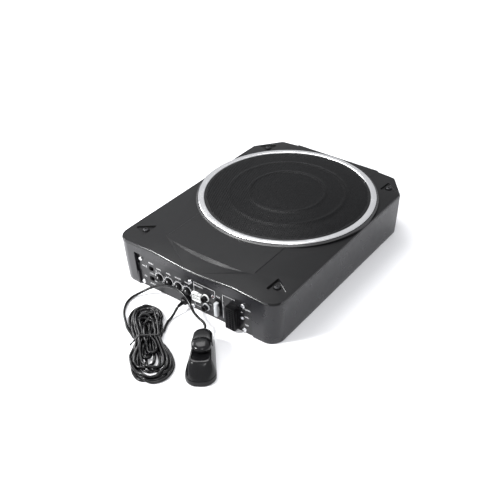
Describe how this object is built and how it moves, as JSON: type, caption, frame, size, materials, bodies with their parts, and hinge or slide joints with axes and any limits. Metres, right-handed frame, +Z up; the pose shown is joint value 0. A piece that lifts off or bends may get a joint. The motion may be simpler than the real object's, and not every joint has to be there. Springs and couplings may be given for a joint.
{
  "type": "powered car subwoofer",
  "caption": "Low under-seat powered car subwoofer with a faceted black housing, round silver-rimmed grille, control panel and wired level remote with its cord tied in a hank.",
  "frame": {"origin": "centre of the main unit's flat underside", "axes": "+Z up out of the grille; the control panel faces -Y; +X is to the right of someone facing the panel"},
  "size_m": [0.252, 0.469, 0.0736],
  "materials": {
    "cast_shell": "die cast, painted satin black",
    "panel_face": "matt black with light grey printing",
    "trim_silver": "bright satin silver",
    "grille_mesh": "black perforated steel",
    "black_plastic": "fine satin black",
    "remote_gloss": "glossy black",
    "soft_rubber": "smooth black rubber",
    "cone_paper": "black pressed paper",
    "basket_plastic": "moulded black",
    "motor_steel": "plated steel",
    "ferrite": "dark grey ferrite",
    "winding": "enamelled copper wire",
    "spider_cloth": "corrugated resin-stiffened cloth",
    "board": "green solder mask",
    "capacitor": "black sleeve",
    "bare_aluminium": "plain extruded",
    "screw_steel": "zinc plated",
    "white_plastic": "moulded white",
    "fuse_body": "clear moulded",
    "led_blue": "clear lens",
    "led_red": "clear lens",
    "cord_sheath": "smooth black cord sheath"
  },
  "bodies": {
    "enclosure": {"lower_tray": "cast_shell", "top_cover": "cast_shell", "control_panel": "panel_face", "trim_ring": "trim_silver", "speaker_grille": "grille_mesh", "slide_switch_block": "black_plastic", "remote_jack": "black_plastic", "fuse_holder": "black_plastic", "power_socket": "black_plastic", "cord_plug": "black_plastic", "hank_tie": "black_plastic", "remote_base": "remote_gloss", "remote_shell": "remote_gloss", "woofer_gasket": "soft_rubber", "woofer_surround": "soft_rubber", "remote_strain_relief": "soft_rubber", "woofer_basket": "basket_plastic", "motor_top_plate": "motor_steel", "motor_back_yoke": "motor_steel", "ring_magnet": "ferrite", "toroid_coil": "winding", "woofer_spider": "spider_cloth", "amplifier_board": "board", "gain_potentiometer": "board", "crossover_potentiometer": "board", "boost_potentiometer": "board", "phase_potentiometer": "board", "filter_capacitor_left": "capacitor", "filter_capacitor_right": "capacitor", "transistor_clamp": "bare_aluminium", "remote_potentiometer": "bare_aluminium", "cover_screw_front_left": "screw_steel", "cover_screw_front_right": "screw_steel", "cover_screw_rear_left": "screw_steel", "cover_screw_rear_right": "screw_steel", "panel_screw_1": "screw_steel", "panel_screw_2": "screw_steel", "panel_screw_3": "screw_steel", "panel_screw_4": "screw_steel", "panel_screw_5": "screw_steel", "panel_screw_6": "screw_steel", "speaker_level_socket": "white_plastic", "rca_jack_upper": "white_plastic", "rca_jack_lower": "white_plastic", "blade_fuse": "fuse_body", "power_led": "led_blue", "protect_led": "led_red", "cord_lead": "cord_sheath", "cord_arc": "cord_sheath", "cord_hank": "cord_sheath"},
    "cone_assembly": {"woofer_cone": "cone_paper", "dust_cap": "cone_paper", "voice_coil_former": "winding"},
    "gain_control": {"gain_knob": "black_plastic"},
    "crossover_control": {"crossover_knob": "black_plastic"},
    "boost_control": {"boost_knob": "black_plastic"},
    "phase_control": {"phase_knob": "black_plastic"},
    "input_switch": {"input_slider": "black_plastic"},
    "power_mode_switch": {"power_mode_slider": "black_plastic"},
    "remote_dial": {"remote_knob": "remote_gloss"}
  },
  "joints": [
    {"name": "cone_travel", "type": "slide", "parent": "enclosure", "child": "cone_assembly", "axis": [0, 0, 1], "range_m": [-0.0035, 0.0035], "stiffness_N_per_m": 2500, "deforming": ["woofer_surround"]},
    {"name": "gain_turn", "type": "hinge", "parent": "enclosure", "child": "gain_control", "pos_m": [-0.059, -0.163, 0.0236], "axis": [0, -1, 0], "range_deg": [-140, 140]},
    {"name": "crossover_turn", "type": "hinge", "parent": "enclosure", "child": "crossover_control", "pos_m": [-0.043, -0.163, 0.0238], "axis": [0, -1, 0], "range_deg": [-140, 140]},
    {"name": "boost_turn", "type": "hinge", "parent": "enclosure", "child": "boost_control", "pos_m": [-0.027, -0.163, 0.0238], "axis": [0, -1, 0], "range_deg": [-140, 140]},
    {"name": "phase_turn", "type": "hinge", "parent": "enclosure", "child": "phase_control", "pos_m": [-0.013, -0.163, 0.0232], "axis": [0, -1, 0], "range_deg": [-140, 140]},
    {"name": "input_slide", "type": "slide", "parent": "enclosure", "child": "input_switch", "axis": [1, 0, 0], "range_m": [0, 0.0038]},
    {"name": "power_mode_slide", "type": "slide", "parent": "enclosure", "child": "power_mode_switch", "axis": [1, 0, 0], "range_m": [0, 0.0038]},
    {"name": "remote_level_turn", "type": "hinge", "parent": "enclosure", "child": "remote_dial", "pos_m": [0.06679, -0.23162, 0.0248], "axis": [0, 0, 1], "range_deg": [-140, 140]}
  ]
}
